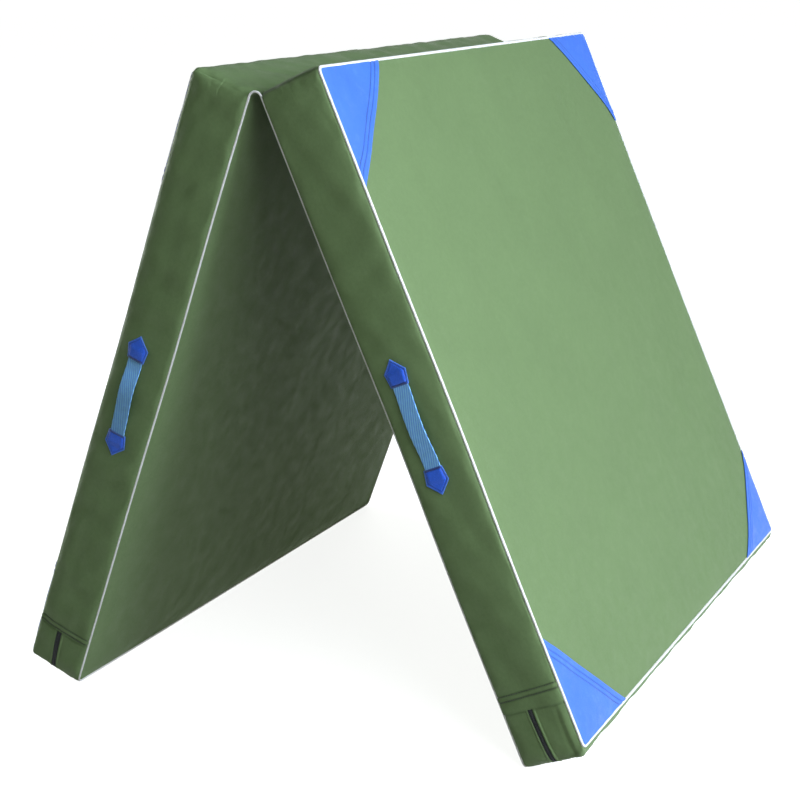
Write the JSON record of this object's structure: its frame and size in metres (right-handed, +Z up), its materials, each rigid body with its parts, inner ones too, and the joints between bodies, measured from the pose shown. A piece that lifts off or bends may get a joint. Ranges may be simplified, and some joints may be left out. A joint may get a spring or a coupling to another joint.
{
  "type": "folding crash landing mat",
  "caption": "Two foam panels in green canvas covers with white piping and blue corner patches, hinged at a cloth fold and standing as an A-frame; webbing carrying handles, zipped feet.",
  "frame": {"origin": "centre of the footprint on the floor, under the fold", "axes": "+Z up; +Y along the fold, from the front edge to the back edge; +X from the left panel towards the right panel"},
  "size_m": [0.9528, 1.0362, 0.9652],
  "materials": {
    "landing_canvas": "coated green canvas, fine plain weave, satin",
    "side_canvas": "coated green canvas, fine plain weave, satin",
    "base_canvas": "coated green canvas, matte",
    "piping": "white bias-covered cord",
    "corner_patch": "blue coated cloth, double stitched",
    "leatherette": "blue grained leatherette",
    "webbing": "blue herringbone webbing",
    "zip_tape": "black woven zip tape",
    "zip_coil": "black nylon coil",
    "zip_metal": "dark plated zinc",
    "soft_foam": null,
    "firm_foam": null
  },
  "bodies": {
    "right_panel": {"right_back_gusset": "side_canvas", "right_back_lower_end_patch": "leatherette", "right_back_strap": "webbing", "right_back_upper_end_patch": "leatherette", "right_base_face": "base_canvas", "right_base_piping": "piping", "right_firm_foam_base": "firm_foam", "right_foot_back_corner_patch": "corner_patch", "right_foot_boxing_inner": "side_canvas", "right_foot_boxing_outer": "side_canvas", "right_foot_front_corner_patch": "corner_patch", "right_front_gusset": "side_canvas", "right_front_lower_end_patch": "leatherette", "right_front_strap": "webbing", "right_front_upper_end_patch": "leatherette", "right_hinge_end_gusset": "side_canvas", "right_landing_face": "landing_canvas", "right_landing_piping": "piping", "right_soft_foam_top": "soft_foam", "right_top_back_corner_patch": "corner_patch", "right_top_front_corner_patch": "corner_patch", "right_zip_coil": "zip_coil", "right_zip_tape_inner": "zip_tape", "right_zip_tape_outer": "zip_tape"},
    "left_panel": {"left_back_gusset": "side_canvas", "left_back_lower_end_patch": "leatherette", "left_back_strap": "webbing", "left_back_upper_end_patch": "leatherette", "left_base_face": "base_canvas", "left_base_piping": "piping", "left_firm_foam_base": "firm_foam", "left_foot_back_corner_patch": "corner_patch", "left_foot_boxing_inner": "side_canvas", "left_foot_boxing_outer": "side_canvas", "left_foot_front_corner_patch": "corner_patch", "left_front_gusset": "side_canvas", "left_front_lower_end_patch": "leatherette", "left_front_strap": "webbing", "left_front_upper_end_patch": "leatherette", "left_hinge_end_gusset": "side_canvas", "left_landing_face": "landing_canvas", "left_landing_piping": "piping", "left_soft_foam_top": "soft_foam", "left_top_back_corner_patch": "corner_patch", "left_top_front_corner_patch": "corner_patch", "left_zip_coil": "zip_coil", "left_zip_tape_inner": "zip_tape", "left_zip_tape_outer": "zip_tape"},
    "fold": {"fold_back_piping": "piping", "fold_front_piping": "piping", "fold_strip": "base_canvas"},
    "right_slider": {"right_zip_slider": "zip_metal"},
    "right_pull": {"right_zip_pull": "zip_metal"},
    "left_slider": {"left_zip_slider": "zip_metal"},
    "left_pull": {"left_zip_pull": "zip_metal"}
  },
  "joints": [
    {"name": "fold_right", "type": "hinge", "parent": "right_panel", "child": "fold", "pos_m": [0.007, 0, 0.92707], "axis": [0, 1, 0], "range_deg": [-22.1, 67.9]},
    {"name": "fold_left", "type": "hinge", "parent": "fold", "child": "left_panel", "pos_m": [-0.007, 0, 0.92707], "axis": [0, 1, 0], "range_deg": [-22.1, 67.9]},
    {"name": "right_zip_slide", "type": "slide", "parent": "right_panel", "child": "right_slider", "axis": [0.3762, 0, -0.9265], "range_m": [0, 0.061]},
    {"name": "right_pull_swing", "type": "hinge", "parent": "right_slider", "child": "right_pull", "pos_m": [0.39738, 0.5042, 0.0853], "axis": [0.9265, 0, 0.3762], "range_deg": [0, 180]},
    {"name": "left_zip_slide", "type": "slide", "parent": "left_panel", "child": "left_slider", "axis": [-0.3762, 0, -0.9265], "range_m": [0, 0.049]},
    {"name": "left_pull_swing", "type": "hinge", "parent": "left_slider", "child": "left_pull", "pos_m": [-0.41097, 0.5042, 0.07841], "axis": [0.9265, 0, -0.3762], "range_deg": [0, 180]}
  ],
  "couplings": [
    {"joint": "fold_right", "follows": "fold_left", "ratio": 1}
  ]
}
